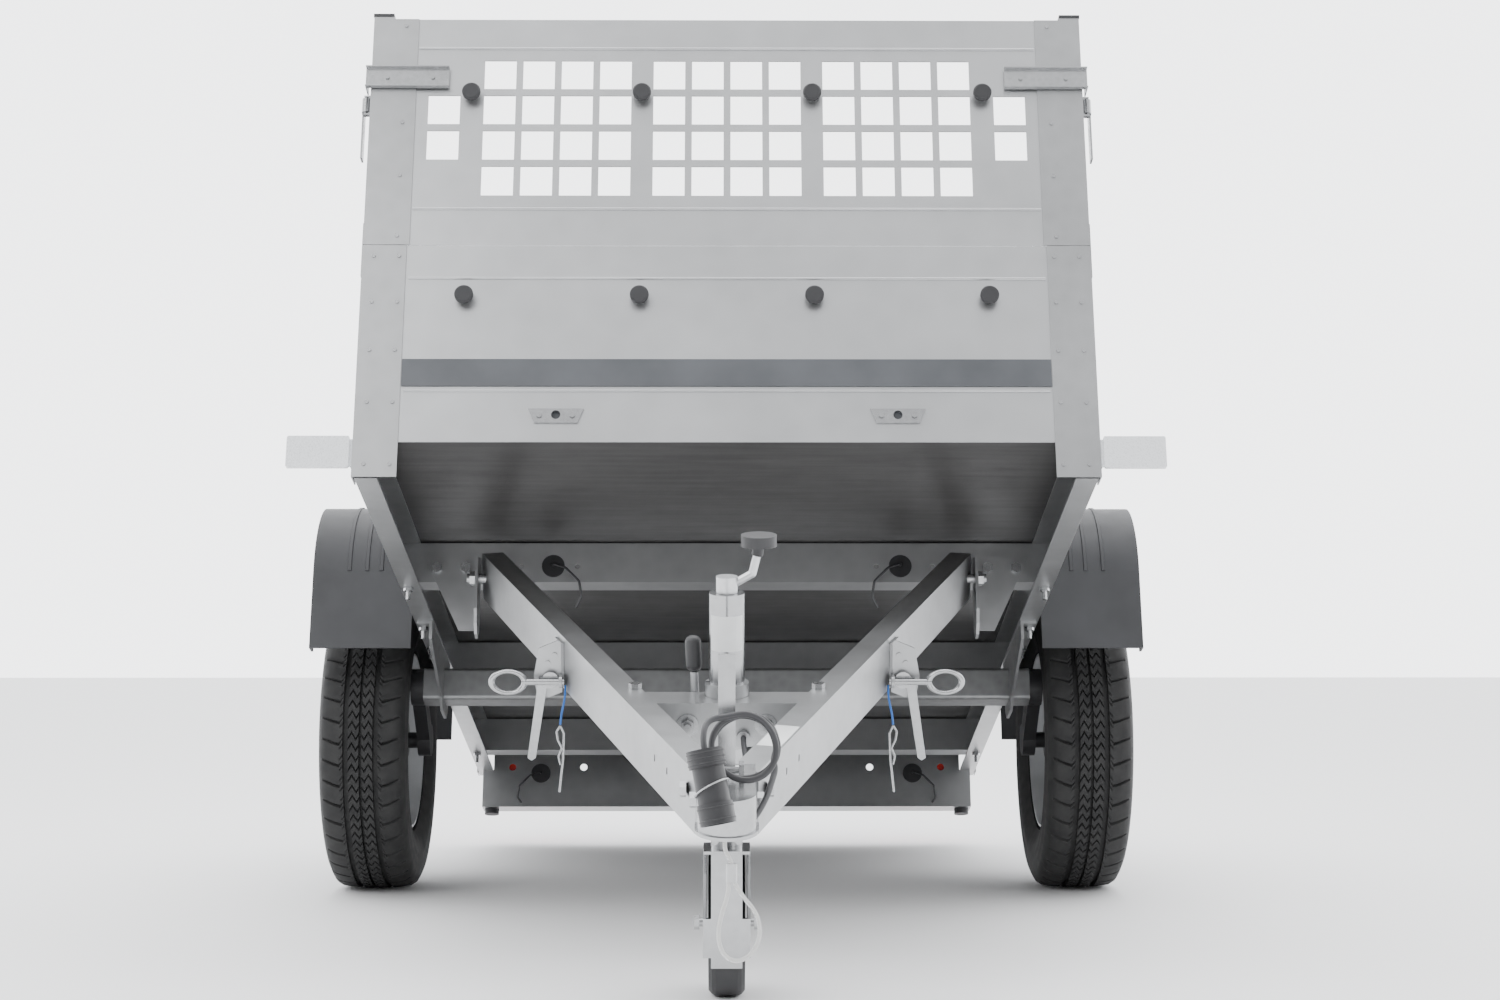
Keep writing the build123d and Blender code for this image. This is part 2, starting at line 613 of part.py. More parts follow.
def make_rim():
    """Pressed steel rim: barrel and dished disc with ventilation holes."""
    h = TYRE_WIDTH / 2
    outer = RIM_RADIUS - 12.2
    barrel = [(-h + 18, outer), (-h + 18, outer - 4), (-26, outer - 16), (26, outer - 16),
              (h - 18, outer - 4), (h - 18, outer), (28, outer - 10), (-28, outer - 10)]
    shape = revolve_x(barrel, WHEEL_X)
    front = [(13.2, 20), (21, 20), (21, 88), (10, 118), (2, outer - 14)]
    disc = front + [(-4, outer - 14), (2, 112), (13.2, 84)]
    shape += revolve_x(disc, WHEEL_X)
    for i in range(12):
        turn = math.radians(30 * i)
        at = (640, 117 * math.cos(turn), 117 * math.sin(turn))
        shape -= rod(at, (710, at[1], at[2]), 11)
    return shape


# ---- drawbar ----------------------------------------------------------------------
def arm_frame():
    """Frame of the right arm: X outward from the web, Y to the rear."""
    return Location((HINGE_X, 0, 0), (0, 0, -ARM_ANGLE))


def arm_x(ahead):
    """Outer face of the right arm at a distance ahead of the hinge."""
    return HINGE_X - ahead * math.tan(math.radians(ARM_ANGLE))


def make_arms():
    """Drawbar arms: channels with the web outside, meeting at the nose."""
    half = ARM_HEIGHT / 2
    web = block(-ARM_WALL, 0, -ARM_NOSE, ARM_TAIL, -half, half)
    upper = block(-ARM_FLANGE, 0, -ARM_NOSE, ARM_TAIL, half - ARM_WALL, half)
    lower = block(-ARM_FLANGE, 0, -ARM_NOSE, ARM_TAIL, -half, -half + ARM_WALL)
    arm = web + upper + lower
    for along in (-1180, -1120):
        arm -= block(-6, 3, along - 2.5, along + 2.5, -2, 7)
    arm = arm_frame() * arm
    arm -= rod((370, 0, 0), (430, 0, 0), 8 + RUN_GAP)
    arm -= block(-60, 0.4, -ARM_NOSE - 80, 60, -60, 60)
    keep("drawbar_arm_right", arm, BAR)
    keep("drawbar_arm_left", mirrored(arm), BAR)
    pin = rod((388, 0, 0), (440, 0, 0), 8)
    pin += extrude(Plane(origin=(426, 0, 0), z_dir=(1, 0, 0)) * RegularPolygon(13, 6), 9)
    pin += extrude(Plane(origin=(396, 0, 0), z_dir=(-1, 0, 0)) * RegularPolygon(13, 6), 8)
    bar_bolts.extend([pin, mirrored(pin)])


def make_cross_plate():
    """Bracket between the arms: top flange, front face and jockey clamp."""
    half = ARM_HEIGHT / 2
    y0 = -JOCKEY_AHEAD - 46
    y1 = -JOCKEY_AHEAD + 12
    inside = ARM_WALL / math.cos(math.radians(ARM_ANGLE)) + 1.0
    top = [
        (arm_x(-y0) - inside, y0), (arm_x(-y1) - inside, y1),
        (-arm_x(-y1) + inside, y1), (-arm_x(-y0) + inside, y0),
    ]
    z = half - ARM_WALL - 4.3
    plate = Pos(0, 0, z) * extrude(make_face(Polyline(*top, close=True)), 4)
    face = arm_x(-y0) - inside
    plate += block(-face, face, y0, y0 + 4, -24, z + 4)
    plate += block(-face + 12, face - 12, y0, y0 + 20, -24, -21)
    axis_at = -JOCKEY_AHEAD
    plate -= rod((0, axis_at, -60), (0, axis_at, 60), JOCKEY_TUBE_R + 6)
    for x in (-52, 52):
        washer = rod((x, y0 - 2, 6), (x, y0 - 0.1, 6), 15)
        nut = hex_bolt((x, y0 - 2, 6), (0, -1, 0), 9, 7, 5, 0.1)
        bar_bolts.append(washer + nut + rod((x, y0 - 8, 6), (x, y0 - 17, 6), 5))
    for x in (-124, 124):
        bar_bolts.append(hex_bolt((x, -866, half + 0.1), (0, 0, 1), 9, 7, 5, 0.05))
    clamp = tube((0, axis_at, -34), (0, axis_at, half + 14), JOCKEY_TUBE_R + 5.5, JOCKEY_TUBE_R + RUN_GAP)
    clamp -= block(-50, -10, axis_at - 3, axis_at + 3, -60, 80)
    clamp += block(-52, -JOCKEY_TUBE_R - 3, axis_at + 3, axis_at + 9, -14, 14)
    clamp += block(-52, -JOCKEY_TUBE_R - 3, axis_at - 9, axis_at - 3, -14, 14)
    clamp -= rod((-42, axis_at - 12, 0), (-42, axis_at + 12, 0), 6 + RUN_GAP)
    plate += clamp
    gland = rod((GLAND_X, y0 - 9, GLAND_Z), (GLAND_X, y0 + 1, GLAND_Z), 9)
    keep("cross_plate", plate + gland, BAR)
    screw = rod((-42, axis_at - 20, 0), (-42, axis_at + 24, 0), 6)
    screw += rod((-42, axis_at + 20, 0), (-44, axis_at + 20, 62), 5.5)
    grip = rod((-44, axis_at + 20, 63), (-46, axis_at + 20, 112), 11)
    grip = fillet(grip.edges().filter_by(GeomType.CIRCLE), 9)
    keep("clamp_screw", group(screw, grip), BAR)


def make_coupling():
    """Ball coupling head between the arm noses, with its handle."""
    ahead = COUPLING_AHEAD
    z_rim = 10.0
    shell = coupling_skin(34, 150, z_rim, z_rim + 46)
    hollow = coupling_skin(30, 160, z_rim - 2, z_rim + 42)
    head = shell - hollow
    flange = coupling_skin(37, 60, z_rim, z_rim + 4) - coupling_skin(30, 80, z_rim - 2, z_rim + 6)
    head += flange
    socket = Pos(0, -ahead, z_rim + 12) * (Sphere(BALL_R + 4) - Sphere(BALL_R + 0.4))
    socket -= block(-60, 60, -ahead - 60, -ahead + 60, z_rim - 60, z_rim + 10)
    rear = ahead - 205
    block_mid = block(-27, 27, -ahead + 80, -rear, z_rim - 14, z_rim + 14)
    block_mid -= block(-24, 24, -ahead + 70, -rear + 8, z_rim - 11, z_rim + 11)
    keep("coupling_head", group(head, socket, block_mid, handle_pivot()), BAR)
    for along in (1225, 1268):
        x = arm_x(along) + 0.5
        bolt = hex_bolt((x + 1.5, -along, 8), (1, 0, 0), 10, 8, 6, 0.1)
        bar_bolts.extend([bolt, mirrored(bolt)])
    keep("drawbar_bolts", group(*bar_bolts), BAR)
    keep("bed_bolts", pair(group(*bed_bolts)), BED)


def coupling_skin(radius, length, low, high):
    """Block with a round front end about the ball's centre."""
    round_end = rod((0, -COUPLING_AHEAD, low), (0, -COUPLING_AHEAD, high), radius)
    body = block(-radius, radius, -COUPLING_AHEAD, -COUPLING_AHEAD + length - radius, low, high)
    return round_end + body


HANDLE_Y = -COUPLING_AHEAD + 46
HANDLE_Z = 70.0


def handle_pivot():
    """Pin and ears that carry the coupling's handle."""
    pin = rod((-20, HANDLE_Y, HANDLE_Z), (20, HANDLE_Y, HANDLE_Z), 5)
    for x in (-17, 17):
        pin += block(x - 3, x + 3, HANDLE_Y - 9, HANDLE_Y + 9, 56.2, 78)
    return pin


def make_coupling_handle():
    """Lever of the coupling, standing up from its pivot."""
    y = HANDLE_Y
    z = HANDLE_Z
    lever = tube((-10, y, z), (10, y, z), 9, 5 + RUN_GAP)
    blade = outline_yz([(y - 7, z + 6), (y + 7, z + 6), (y + 34, 200), (y + 14, 204)], -10, 10)
    blade -= outline_yz([(y - 5, z - 4), (y + 3, z - 4), (y + 26, 196), (y + 17, 197)], -7, 7)
    keep("coupling_handle", lever + blade, BAR)


# ---- tipping latches --------------------------------------------------------------
LATCH_AHEAD = 575.0
LATCH_X = 259.0
LATCH_Z = -24.0


def make_tip_latches():
    """Bracket on each arm with a swing lever on a boss and a locking pin with an eye."""
    y = -LATCH_AHEAD
    inner = arm_x(LATCH_AHEAD) + 2.6
    points = [(inner, 30), (248, 34), (276, 22), (284, -20), (280, -44), (262, -52), (inner, -44)]
    plate = outline_xz(points, y - 2, y + 2)
    wrap = arm_frame() * block(0.3, 4.3, -603, -560, -36, 30)
    plate += wrap
    plate -= rod((LATCH_X, y - 5, LATCH_Z), (LATCH_X, y + 5, LATCH_Z), 8 + RUN_GAP)
    for dx, dz in ((-6, 36), (4, 24)):
        plate += rod((LATCH_X + dx, y - 2, LATCH_Z + dz), (LATCH_X + dx, y - 4.5, LATCH_Z + dz), 4)
    lever = rod((LATCH_X, y - 12, LATCH_Z), (LATCH_X, y + 8, LATCH_Z), 8)
    lever += rod((LATCH_X, y - 12, LATCH_Z), (LATCH_X, y - 5, LATCH_Z), 12.5)
    lever += outline_xz([(262, -20), (276, -20), (294, -142), (288, -146), (282, -142)], y - 11, y - 5)
    keep("latch_lever_right", lever, BAR)
    keep("latch_lever_left", mirrored(lever), BAR)
    z = LATCH_Z
    yp = y - 20
    shank = rod((238, yp, z), (300, yp, z), 4.5)
    eye = Pos(320, yp, z) * make_eye()
    pin = shank + eye
    ear = rod((241, yp, z), (245.5, yp, z), 9) + block(241, 245.5, yp, y, z - 9, z + 9)
    plate += ear
    plate -= rod((238, yp, z), (250, yp, z), 4.5 + RUN_GAP)
    keep("latch_brackets", pair(plate), BAR)
    keep("lock_pin_right", pin, BAR)
    keep("lock_pin_left", mirrored(pin), BAR)


def make_eye():
    """Flattened ring of round bar."""
    ring = Torus(21, 4)
    return Location((0, 0, 0), (90, 0, 0)) * scale(ring, by=(1.15, 0.78, 1.0))


# ---- jockey wheel -------------------------------------------------------------------
def make_jockey():
    """Outer tube, crank, screw, inner tube, fork and wheel."""
    y = -JOCKEY_AHEAD
    outer = tube((0, y, -150), (0, y, 172), JOCKEY_TUBE_R, JOCKEY_TUBE_R - JOCKEY_WALL)
    guide_y = y - JOCKEY_TUBE_R - 6
    guide = outline_xz([(-24, -118), (24, -118), (14, -160), (-14, -160)], guide_y, guide_y + 3)
    guide += block(-12, 12, guide_y + 2.5, guide_y + 7, -148, -120)
    collar = tube((0, y, 172.05), (0, y, 176), JOCKEY_TUBE_R, 7)
    keep("jockey_outer_tube", group(outer + guide, collar), BAR)
    cap = tube((0, y, 176.3), (0, y, 198), 14.5, 6 + RUN_GAP) + rod((0, y, 190), (0, y, 198), 14.5)
    screw = rod((0, y, -155), (0, y, 191), 6)
    arm = rod((8, y, 187), (34, y, 202), 5.5) + rod((34, y, 202), (40, y, 226), 5.5)
    arm += Pos(34, y, 202) * Sphere(5.5)
    knob_shape = rod((40.3, y, 227), (42, y, 240), 8) + Pos(42.5, y, 247) * Cylinder(24, 15)
    keep("crank", group(cap + screw + arm, knob_shape), BAR)
    nut = tube((0, y, INNER_TOP - 16), (0, y, INNER_TOP), SWIVEL_R + 1, 6 + RUN_GAP)
    inner = tube((0, y, INNER_END), (0, y, INNER_TOP), INNER_TUBE_R, SWIVEL_R + RUN_GAP)
    keep("jockey_inner_tube", inner + nut, BAR)


def make_jockey_wheel():
    """Fork and wheel under the inner tube, trailing behind it."""
    tip = BAR * Location((0, -JOCKEY_AHEAD, INNER_END))
    wheel_y = tip.position.Y + JOCKEY_TRAIL
    front = wheel_y - JOCKEY_WHEEL_R - 6
    crown = JOCKEY_WHEEL_R * 2 + 4
    neck = rod((0, -JOCKEY_AHEAD, INNER_END - 20), (0, -JOCKEY_AHEAD, INNER_END - 0.3), INNER_TUBE_R)
    neck += rod((0, -JOCKEY_AHEAD, INNER_END - 2), (0, -JOCKEY_AHEAD, INNER_END + 6), SWIVEL_R)
    fork = BAR * neck - block(-60, 60, front - 60, wheel_y + 60, 0, crown)
    fork += block(-21, 21, front - 4, front, 52, crown + 4)
    fork += block(-31, 31, front - 4, wheel_y + 20, crown, crown + 4)
    for x in (-32, 28):
        fork += outline_yz([(front - 4, 66), (wheel_y - 24, 78), (wheel_y + 16, 88), (wheel_y + 20, 112),
                            (wheel_y + 20, crown + 4), (front + 40, crown + 4), (front - 4, 118)], x, x + 4)
    fork += block(-32, 32, front - 4, front, 66, 118)
    fork -= rod((-40, wheel_y, JOCKEY_WHEEL_R), (40, wheel_y, JOCKEY_WHEEL_R), 6 + RUN_GAP)
    axle = rod((-38, wheel_y, JOCKEY_WHEEL_R), (38, wheel_y, JOCKEY_WHEEL_R), 6)
    for x, direction in ((-38, -1), (38, 1)):
        axle += hex_bolt((x, wheel_y, JOCKEY_WHEEL_R), (direction, 0, 0), 10, 7, 6, 1)
    keep("jockey_fork", group(fork, axle))
    h = JOCKEY_WHEEL_WIDTH / 2
    r = JOCKEY_WHEEL_R
    crown_half = [(h - 10, r), (h - 5, r - 2), (h, r - 8), (h, 68)]
    profile = [(-x, radius) for x, radius in reversed(crown_half)] + crown_half
    place = Location((0, wheel_y, r))
    tread_ring = revolve_x(profile, 0)
    hub = [(-h + 2, 67.8), (h - 2, 67.8), (h - 2, 58), (6, 52), (6, 22), (h, 20), (h, 6 + RUN_GAP),
           (-h, 6 + RUN_GAP), (-h, 20), (-6, 22), (-6, 52), (-h + 2, 58)]
    keep("jockey_wheel", group(tread_ring, revolve_x(hub, 0)), place)


# ---- cords --------------------------------------------------------------------------
CABLE_R = 3.75
STRING_R = 1.5
SAFETY_R = 2.4
GLAND_X = 22.0
GLAND_Z = -10.0
COIL_CENTRE = (20.0, HINGE_Y - 1374.8, HINGE_Z - 207.0)
COIL_R = 38.0


def cord_tube(name, points, radius):
    """Round cord as straight runs joined by arcs as large as the runs allow."""
    corners = [Vector(*p) for p in points]
    radii = []
    for a, b, c in zip(corners, corners[1:], corners[2:]):
        turn = (b - a).get_angle(c - b)
        shorter = min((b - a).length, (c - b).length)
        radii.append(0.45 * shorter / math.tan(math.radians(turn) / 2))
    path = FilletPolyline(*points, radius=radii)
    print(name, "radii", [round(r, 1) for r in radii], "length", round(path.length, 1))
    return sweep(Plane(origin=points[0], z_dir=path % 0) * Circle(radius), path=path)


def make_plug_cable():
    """Trailer cable: from its gland, into loose turns at the coupling, out to the plug."""
    gland = BAR * Location((GLAND_X, -JOCKEY_AHEAD - 46 - 9.05, GLAND_Z))
    gx = gland.position.X
    gy = gland.position.Y
    gz = gland.position.Z
    coil_x, coil_y, coil_z = COIL_CENTRE
    out_points = [
        (gx, gy, gz),
        (gx, gy - 30, gz - 6.9),
        (26, gy - 78, gz - 30),
        (29, gy - 132, gz - 54),
        (26, gy - 188, gz - 68),
        (24, gy - 244, gz - 78),
        (26, gy - 298, gz - 84),
        (33, gy - 340, gz - 77),
        (46, gy - 374, gz - 52),
        (53, coil_y + 45, coil_z - 40),
        (54.5, coil_y + 12.2, coil_z - 16),
    ]
    lower = cord_tube("plug_cable_lower", out_points, CABLE_R)
    plug_points = [
        (0.0, coil_y - 4, coil_z + COIL_R + 3),
        (-14.0, coil_y - 8, coil_z + COIL_R + 5),
        (-24.0, coil_y - 20, coil_z + COIL_R - 2),
        (-28.0, PLUG_TOP[1] + 1, PLUG_TOP[2] + 12),
        PLUG_TOP,
    ]
    upper = cord_tube("plug_cable_upper", plug_points, CABLE_R)
    keep("plug_cable", group(lower, upper))
    ring = rod((coil_x, coil_y - 12, coil_z), (coil_x, coil_y + 12, coil_z), COIL_R + 6)
    ring -= rod((coil_x, coil_y - 13, coil_z), (coil_x, coil_y + 13, coil_z), COIL_R - 6)
    keep("plug_cable_coil", ring)


PLUG_TOP = (-25.0, HINGE_Y - 1417.8, HINGE_Z - 207.0)
PLUG_BOTTOM = (-9.0, HINGE_Y - 1428.8, HINGE_Z - 291.0)


def make_plug():
    """Round trailer plug with its collar and lid."""
    top = Vector(*PLUG_TOP)
    axis = (Vector(*PLUG_BOTTOM) - top).normalized()

    def along(distance):
        return tuple(top + axis * distance)

    body = rod(along(0.05), along(20), 21.5)
    body += rod(along(20), along(62), 18.5)
    body += rod(along(61), along(85), 20.5)
    body -= rod(along(77), along(86), 17.5)
    keep("plug", body)


def make_safety_cable():
    """Breakaway cable: short lead from the coupling, ferrule, hanging loop."""
    start = BAR * Location((-2, -COUPLING_AHEAD - 31, 9.9))
    x = start.position.X
    y = start.position.Y
    z = start.position.Z
    lead_points = [(x, y, z), (x - 1, y - 1, z - 9), (x + 4, y - 3, z - 18), (x + 7.5, y - 3, z - 26.1)]
    lead_tube = cord_tube("safety_lead", lead_points, SAFETY_R)
    low = z - 47.1
    loop = [
        (x + 4.4, y - 3, low), (x + 3.4, y - 3, low - 14), (x - 4, y - 3, low - 36), (x - 8.5, y - 3, low - 60),
        (x - 3, y - 3, low - 82), (x + 14, y - 3, low - 91), (x + 32, y - 3, low - 80), (x + 41, y - 3, low - 58),
        (x + 36, y - 3, low - 34), (x + 19, y - 3, low - 15), (x + 10.6, y - 3, low),
    ]
    keep("safety_cable", group(lead_tube, cord_tube("safety_loop", loop, SAFETY_R)))
    ferrule = block(x + 1.2, x + 13.8, y - 6.6, y + 0.6, low + 0.05, z - 26.2)
    keep("safety_ferrule", fillet(ferrule.edges().filter_by(Axis.Z), 2.5))


def make_clip_strings():
    """Strings from the locking pins to their spring clips."""
    hang = BAR * Location((236, -LATCH_AHEAD - 20, LATCH_Z - 4.6))
    y = hang.position.Y
    z = hang.position.Z
    points = [
        (236.5, y, z - 0.2),
        (236.3, y - 1, z - 12),
        (238.5, y - 2, z - 28),
        (242.5, y - 1, z - 44),
        (243.5, y, z - 58),
    ]
    string = cord_tube("clip_string", points, STRING_R)
    keep("clip_strings", pair(string))
    top = z - 58.1
    wire = [
        (243.5, y, top - 1.6), (249, y, top - 10), (247, y, top - 22), (241, y, top - 34), (246, y, top - 46),
        (243, y, top - 58),
    ]
    leg = [(243.5, y, top - 1.6), (238.5, y, top - 12), (239.5, y, top - 50), (244.5, y, top - 98)]
    arm_a = sweep(Plane(origin=wire[0], z_dir=Vector(*wire[1]) - Vector(*wire[0])) * Circle(1.6),
                  path=FilletPolyline(*wire, radius=3))
    arm_b = sweep(Plane(origin=leg[0], z_dir=Vector(*leg[1]) - Vector(*leg[0])) * Circle(1.6),
                  path=FilletPolyline(*leg, radius=3))
    keep("spring_clips", pair(arm_a + arm_b))


# ---- build --------------------------------------------------------------------------
make_rails()
make_crossmembers()
make_floor()
make_front_panel()
make_side_panels()
make_corner_posts()
make_extension_front()
make_extension_sides()
make_extension_posts()
make_knobs()
make_strikers()
make_front_reflectors()
make_rivets()
make_lamp_beam()
make_lamp_leads()
make_hinge_brackets()
make_axle()
make_mudguards()
make_tailgates()
make_toggles()
make_suspension()
make_road_wheels()
make_arms()
make_cross_plate()
make_coupling()
make_coupling_handle()
make_tip_latches()
make_jockey()
make_jockey_wheel()
make_plug_cable()
make_plug()
make_safety_cable()
make_clip_strings()

for name, shape in nodes.items():
    export_step(shape, "parts/" + name + ".step")
print(len(nodes), "nodes")
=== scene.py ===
"""Looks of a single-axle tipping box trailer: materials, tyres, cords, light and camera."""
import json
import math

import bmesh
import bpy
from mathutils import Matrix, Vector


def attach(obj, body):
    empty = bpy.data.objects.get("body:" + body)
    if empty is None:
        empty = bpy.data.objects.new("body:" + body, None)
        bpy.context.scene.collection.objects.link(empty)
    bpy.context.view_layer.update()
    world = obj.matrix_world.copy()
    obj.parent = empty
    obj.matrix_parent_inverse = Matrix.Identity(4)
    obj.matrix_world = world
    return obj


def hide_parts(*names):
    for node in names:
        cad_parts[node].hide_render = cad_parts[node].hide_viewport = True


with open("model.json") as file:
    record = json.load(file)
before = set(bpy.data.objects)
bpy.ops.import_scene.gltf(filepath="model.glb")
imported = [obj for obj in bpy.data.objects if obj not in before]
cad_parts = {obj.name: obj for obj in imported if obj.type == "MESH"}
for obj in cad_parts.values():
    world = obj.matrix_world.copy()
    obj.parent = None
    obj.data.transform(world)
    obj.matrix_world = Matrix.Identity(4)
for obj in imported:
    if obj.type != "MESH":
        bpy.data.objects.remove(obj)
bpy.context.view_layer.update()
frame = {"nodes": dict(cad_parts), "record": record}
nodes = frame["nodes"]
record = frame["record"]

MM = 0.001
SIDES = (("left", -1), ("right", 1))

# The part's own dimensions, millimetres, and the pitch of each body at rest.
BED_PITCH = math.radians(16.5)
BAR_PITCH = math.radians(13.0)
ARM_ANGLE = math.radians(16.49)
HINGE_ALONG = 515.0
HINGE_DROP = 1.0
HINGE_X = 410.0
JOCKEY_AHEAD = 886.0
COUPLING_AHEAD = 1395.0
LATCH_AHEAD = 575.0
TYRE_RADIUS = 279.0


def joint_at(name):
    """Place of a joint in the row frame."""
    for joint in record["behaviour"]["joints"]:
        if joint["name"] == name:
            return Vector(joint["pos_m"])
    raise KeyError(name)


HINGE = joint_at("tip_hinge")
BAR = Matrix.Translation(HINGE) @ Matrix.Rotation(BAR_PITCH, 4, "X")
BED_TURN = Matrix.Rotation(-BED_PITCH, 4, "X")
BED_ORIGIN = HINGE - BED_TURN @ (Vector((0, HINGE_ALONG, -HINGE_DROP)) * MM)
BED = Matrix.Translation(BED_ORIGIN) @ BED_TURN
RIGHT_ARM = BAR @ Matrix.Translation((HINGE_X * MM, 0, 0)) @ Matrix.Rotation(-ARM_ANGLE, 4, "Z")


def on_bar(x, y, z):
    """Point in the drawbar's frame, millimetres."""
    return BAR @ (Vector((x, y, z)) * MM)


def on_bed(x, y, z):
    """Point in the bed's frame, millimetres."""
    return BED @ (Vector((x, y, z)) * MM)


# ---- camera -------------------------------------------------------------------------
LENS = 60.0
SENSOR_WIDTH = 36.0
NEAR_CLIP = 0.05
CAMERA_AHEAD = 3.75         # ahead of the bed's front edge, metres
CAMERA_HEIGHT = 0.54
CAMERA_TILT = math.radians(92.38)
CAMERA_PAN = math.radians(-0.53)


def make_camera():
    """Low camera ahead of the coupling, looking back along the trailer."""
    data = bpy.data.cameras.new("camera")
    data.lens = LENS
    data.sensor_width = SENSOR_WIDTH
    data.clip_start = NEAR_CLIP
    camera = bpy.data.objects.new("camera", data)
    bpy.context.scene.collection.objects.link(camera)
    camera.location = (0, BED_ORIGIN.y - CAMERA_AHEAD, CAMERA_HEIGHT)
    camera.rotation_euler = (CAMERA_TILT, 0, CAMERA_PAN)
    bpy.context.scene.camera = camera


# ---- node building ------------------------------------------------------------------
class Shader:
    """One node material with a Principled surface and helpers that wire textures to it."""

    def __init__(self, name, metallic=0.0, roughness=0.5, **sockets):
        self.material = bpy.data.materials.new(name)
        self.material.use_nodes = True
        self.tree = self.material.node_tree
        self.surface = self.tree.nodes["Principled BSDF"]
        self.surface.inputs["Metallic"].default_value = metallic
        self.surface.inputs["Roughness"].default_value = roughness
        for key, value in sockets.items():
            self.surface.inputs[key.replace("_", " ")].default_value = value
        self.coords = self.tree.nodes.new("ShaderNodeTexCoord").outputs["Object"]

    def link(self, a, b):
        self.tree.links.new(a, b)

    def stretch(self, scale):
        mapping = self.tree.nodes.new("ShaderNodeMapping")
        mapping.inputs["Scale"].default_value = scale
        self.link(self.coords, mapping.inputs["Vector"])
        return mapping.outputs["Vector"]

    def noise(self, scale, detail=4.0, stretch=(1, 1, 1)):
        texture = self.tree.nodes.new("ShaderNodeTexNoise")
        texture.inputs["Scale"].default_value = scale
        texture.inputs["Detail"].default_value = detail
        self.link(self.stretch(stretch), texture.inputs["Vector"])
        return texture.outputs["Fac"]

    def cells(self, scale):
        texture = self.tree.nodes.new("ShaderNodeTexVoronoi")
        texture.inputs["Scale"].default_value = scale
        self.link(self.coords, texture.inputs["Vector"])
        return texture.outputs["Distance"]

    def ramp(self, source, low, high, start=0.3, end=0.7):
        ramp = self.tree.nodes.new("ShaderNodeValToRGB")
        ramp.color_ramp.elements[0].position = start
        ramp.color_ramp.elements[0].color = (*low, 1)
        ramp.color_ramp.elements[1].position = end
        ramp.color_ramp.elements[1].color = (*high, 1)
        self.link(source, ramp.inputs["Fac"])
        return ramp.outputs["Color"]

    def vary(self, source, low, high, socket="Roughness"):
        ranged = self.tree.nodes.new("ShaderNodeMapRange")
        ranged.inputs["To Min"].default_value = low
        ranged.inputs["To Max"].default_value = high
        self.link(source, ranged.inputs["Value"])
        self.link(ranged.outputs["Result"], self.surface.inputs[socket])

    def colour(self, source):
        self.link(source, self.surface.inputs["Base Color"])

    def bump(self, source, strength, distance):
        bump = self.tree.nodes.new("ShaderNodeBump")
        bump.inputs["Strength"].default_value = strength
        bump.inputs["Distance"].default_value = distance
        self.link(source, bump.inputs["Height"])
        self.link(bump.outputs["Normal"], self.surface.inputs["Normal"])


def grey(value, tint=0.0):
    return (value * (1 - tint), value, value * (1 + tint))


# ---- materials ----------------------------------------------------------------------
SPANGLE_SHARE = 0.25        # of the spangle in the zinc's colour, the rest is cloud


def zinc(name, low, high, rough_low, rough_high, spangle=22.0):
    """Galvanised steel: faint spangle, cloudy dulling and fine rolling streaks."""
    shader = Shader(name, metallic=0.92)
    crystal = shader.cells(spangle)
    cloud = shader.noise(5.0, 6.0)
    mix = shader.tree.nodes.new("ShaderNodeMath")
    mix.operation = "MULTIPLY_ADD"
    mix.inputs[1].default_value = SPANGLE_SHARE
    shader.link(crystal, mix.inputs[0])
    shader.link(cloud, mix.inputs[2])
    shader.colour(shader.ramp(mix.outputs["Value"], grey(low, 0.012), grey(high, 0.012), 0.35, 0.9))
    shader.vary(shader.noise(14.0, 5.0, (1, 1, 5)), rough_low, rough_high)
    shader.bump(shader.noise(260.0, 3.0), 0.05, 0.0004)
    return shader.material


def moulded(name, colour, roughness, grain=900.0, strength=0.25):
    """Moulded plastic with a fine grain and slightly uneven gloss."""
    shader = Shader(name, roughness=roughness)
    shader.colour(shader.ramp(shader.noise(9.0), [c * 0.8 for c in colour], [c * 1.2 for c in colour]))
    shader.vary(shader.noise(30.0), roughness - 0.08, roughness + 0.08)
    shader.bump(shader.noise(grain, 2.0), strength, 0.0003)
    return shader.material


def plywood():
    """Dark phenolic film over birch ply, with a pressed mesh and faint grain."""
    shader = Shader("plywood", roughness=0.5)
    grain = shader.noise(6.0, 8.0, (1, 14, 14))
    shader.colour(shader.ramp(grain, (0.026, 0.025, 0.025), (0.05, 0.049, 0.048)))
    shader.vary(shader.noise(20.0), 0.3, 0.42)
    shader.bump(shader.cells(400.0), 0.2, 0.0003)
    return shader.material


def tyre_rubber():
    """Road rubber: matt black with dust in the low places and fine mould lines."""
    shader = Shader("tyre_rubber", roughness=0.72)
    shader.colour(shader.ramp(shader.noise(26.0, 8.0), (0.008, 0.008, 0.0085), (0.02, 0.0198, 0.0195)))
    shader.vary(shader.noise(60.0), 0.6, 0.85)
    shader.bump(shader.noise(700.0, 3.0), 0.3, 0.0004)
    return shader.material


def lens(name, colour):
    """Moulded reflector: clear gloss over small prisms."""
    shader = Shader(name, roughness=0.16, Coat_Weight=0.8)
    facet = shader.cells(320.0)
    shader.colour(shader.ramp(facet, [c * 0.8 for c in colour], colour, 0.0, 0.5))
    shader.vary(shader.noise(80.0), 0.1, 0.22)
    shader.bump(facet, 0.5, 0.0006)
    return shader.material


